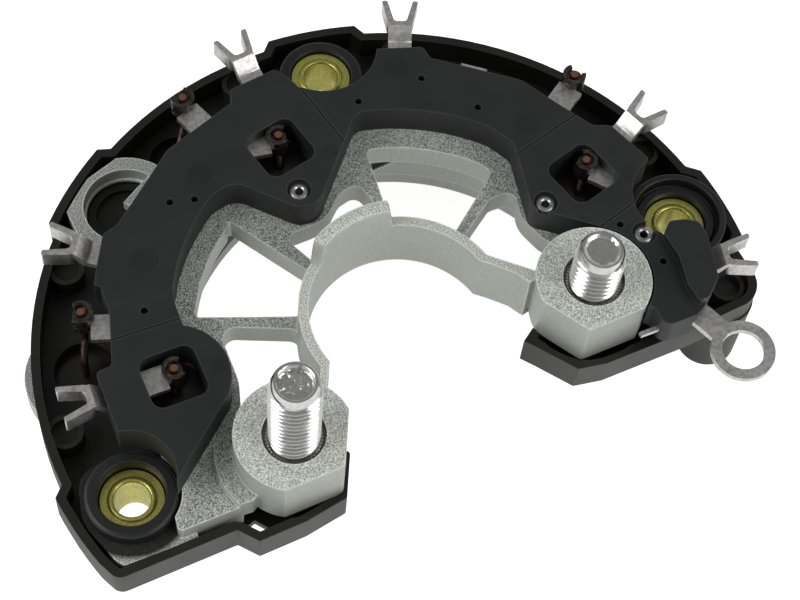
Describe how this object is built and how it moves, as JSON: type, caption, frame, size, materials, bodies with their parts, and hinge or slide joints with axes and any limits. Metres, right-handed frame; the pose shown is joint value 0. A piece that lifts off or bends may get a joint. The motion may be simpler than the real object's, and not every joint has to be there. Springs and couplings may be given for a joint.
{
  "type": "alternator rectifier",
  "caption": "Horseshoe-shaped rectifier pack with press-fit diodes between two heat sinks, a moulded terminal board, winding forks and output studs.",
  "frame": {"origin": "on the rotor shaft's axis, in the plane of the mounting bushes' feet", "axes": "+Z from the alternator's housing to the free ends of the studs, +Y to the closed side of the horseshoe"},
  "size_m": [0.1171, 0.089, 0.047],
  "materials": {
    "cast_aluminium": "blasted casting",
    "tray_plastic": "satin",
    "board_plastic": "matt",
    "tinned_strip": "tinned",
    "yellow_chromate": "yellow chromate",
    "sleeve_plastic": "satin",
    "plated_steel": "zinc plated",
    "rivet_metal": "plated",
    "diode_cup": "nickel plated",
    "diode_resin": "cast resin",
    "copper_lead": "solder-dipped copper"
  },
  "bodies": {
    "root": {"positive_heat_sink": "cast_aluminium", "negative_heat_sink": "cast_aluminium", "base_tray": "tray_plastic", "terminal_board": "board_plastic", "phase_conductor_1": "tinned_strip", "phase_conductor_2": "tinned_strip", "phase_conductor_3": "tinned_strip", "tap_conductor": "tinned_strip", "bush_1": "yellow_chromate", "bush_2": "yellow_chromate", "bush_3": "yellow_chromate", "insulating_sleeve_1": "sleeve_plastic", "insulating_sleeve_2": "sleeve_plastic", "insulating_sleeve_3": "sleeve_plastic", "long_stud": "plated_steel", "short_stud": "plated_steel", "hollow_rivets": "rivet_metal", "negative_diode_cup_1": "diode_cup", "negative_diode_cup_2": "diode_cup", "negative_diode_cup_3": "diode_cup", "positive_diode_cup_1": "diode_cup", "positive_diode_cup_2": "diode_cup", "positive_diode_cup_3": "diode_cup", "negative_diode_seal_1": "diode_resin", "negative_diode_seal_2": "diode_resin", "negative_diode_seal_3": "diode_resin", "positive_diode_seal_1": "diode_resin", "positive_diode_seal_2": "diode_resin", "positive_diode_seal_3": "diode_resin", "negative_diode_lead_1": "copper_lead", "negative_diode_lead_2": "copper_lead", "negative_diode_lead_3": "copper_lead", "positive_diode_lead_1": "copper_lead", "positive_diode_lead_2": "copper_lead", "positive_diode_lead_3": "copper_lead"}
  },
  "joints": []
}
